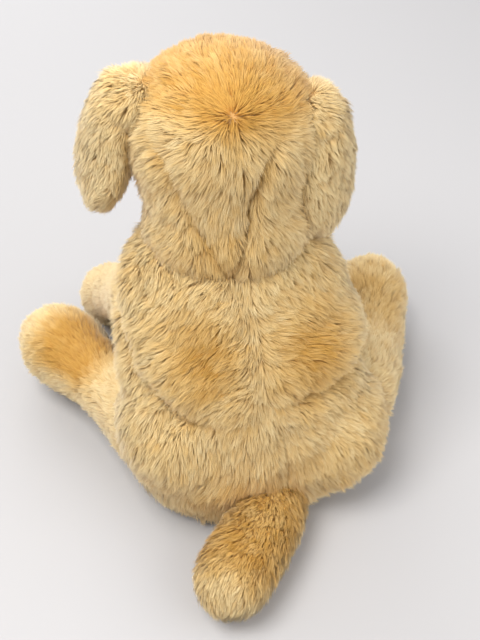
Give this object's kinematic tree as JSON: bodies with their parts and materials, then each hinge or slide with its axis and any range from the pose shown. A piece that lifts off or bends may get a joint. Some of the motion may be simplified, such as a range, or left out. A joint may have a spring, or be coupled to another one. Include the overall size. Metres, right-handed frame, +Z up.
{
  "type": "plush puppy",
  "caption": "Sitting plush puppy with jointed head, floppy ears, legs and tail; soft covers sewn from panels over a fibre filling.",
  "frame": {"origin": "on the ground, in the middle of the flat seat under the torso", "axes": "-Y is the way the puppy faces, +Z up, +X to the puppy's own left"},
  "size_m": [0.3257, 0.3591, 0.3219],
  "materials": {
    "plush_cream": "long soft pile",
    "plush_gold": "long soft pile",
    "plush_lining": "short soft pile",
    "filling": "loose white fibre",
    "pouch_cloth": "plain woven",
    "eye_plastic": "polished",
    "nose_plastic": "semi-gloss",
    "washer_plastic": "matte",
    "thread": "stitched thread"
  },
  "bodies": {
    "torso": {"seat_panel": "plush_cream", "belly_panel": "plush_cream", "back_panel_left": "plush_gold", "back_panel_right": "plush_gold", "torso_stuffing": "filling", "pellet_pouch": "pouch_cloth"},
    "neck": {"neck_stuffing": "filling"},
    "head": {"head_gusset": "plush_gold", "head_panel_left": "plush_cream", "head_panel_right": "plush_cream", "chin_panel": "plush_cream", "head_stuffing": "filling", "nose": "nose_plastic", "nose_washer": "washer_plastic", "mouth_stitch": "thread", "eye_left": "eye_plastic", "eye_left_washer": "washer_plastic", "eye_right": "eye_plastic", "eye_right_washer": "washer_plastic"},
    "ear_left": {"ear_left_outer": "plush_cream", "ear_left_lining": "plush_lining"},
    "ear_right": {"ear_right_outer": "plush_cream", "ear_right_lining": "plush_lining"},
    "front_leg_left": {"front_leg_left_top_cover": "plush_cream", "front_leg_left_under_cover": "plush_cream", "front_leg_left_stuffing": "filling"},
    "front_leg_right": {"front_leg_right_top_cover": "plush_cream", "front_leg_right_under_cover": "plush_cream", "front_leg_right_stuffing": "filling"},
    "hind_leg_left": {"hind_leg_left_top_cover": "plush_gold", "hind_leg_left_under_cover": "plush_cream", "hind_leg_left_stuffing": "filling"},
    "hind_leg_right": {"hind_leg_right_top_cover": "plush_gold", "hind_leg_right_under_cover": "plush_cream", "hind_leg_right_stuffing": "filling"},
    "tail": {"tail_top_cover": "plush_gold", "tail_under_cover": "plush_cream", "tail_stuffing": "filling"}
  },
  "joints": [
    {"name": "neck_nod", "type": "hinge", "parent": "torso", "child": "neck", "pos_m": [0, -0.046, 0.214], "axis": [1, 0, 0], "range_deg": [-4, 11], "stiffness_Nm_per_rad": 2.5},
    {"name": "head_turn", "type": "hinge", "parent": "neck", "child": "head", "pos_m": [0, -0.046, 0.214], "axis": [0, 0, 1], "range_deg": [-8, 40], "stiffness_Nm_per_rad": 1.5},
    {"name": "ear_left_flop", "type": "hinge", "parent": "head", "child": "ear_left", "pos_m": [0.04416, -0.07561, 0.31037], "axis": [-0.2228, -0.9744, -0.0313], "range_deg": [0, 45], "stiffness_Nm_per_rad": 0.3},
    {"name": "ear_right_flop", "type": "hinge", "parent": "head", "child": "ear_right", "pos_m": [-0.06456, -0.05027, 0.29509], "axis": [0.2228, 0.9744, 0.0313], "range_deg": [0, 45], "stiffness_Nm_per_rad": 0.3},
    {"name": "front_leg_left_swing", "type": "hinge", "parent": "torso", "child": "front_leg_left", "pos_m": [0.054, -0.058, 0.146], "axis": [-1, 0, 0], "range_deg": [0, 40], "stiffness_Nm_per_rad": 1.2},
    {"name": "front_leg_right_swing", "type": "hinge", "parent": "torso", "child": "front_leg_right", "pos_m": [-0.054, -0.058, 0.146], "axis": [-1, 0, 0], "range_deg": [0, 40], "stiffness_Nm_per_rad": 1.2},
    {"name": "hind_leg_left_splay", "type": "hinge", "parent": "torso", "child": "hind_leg_left", "pos_m": [0.053, -0.001, 0.05], "axis": [0, 0, 1], "range_deg": [-6, 24], "stiffness_Nm_per_rad": 1.2},
    {"name": "hind_leg_right_splay", "type": "hinge", "parent": "torso", "child": "hind_leg_right", "pos_m": [-0.06, 0.004, 0.05], "axis": [0, 0, -1], "range_deg": [-6, 24], "stiffness_Nm_per_rad": 1.2},
    {"name": "tail_wag", "type": "hinge", "parent": "torso", "child": "tail", "pos_m": [-0.002, 0.044, 0.038], "axis": [0, 0, -1], "range_deg": [-70, 10], "stiffness_Nm_per_rad": 0.4}
  ]
}
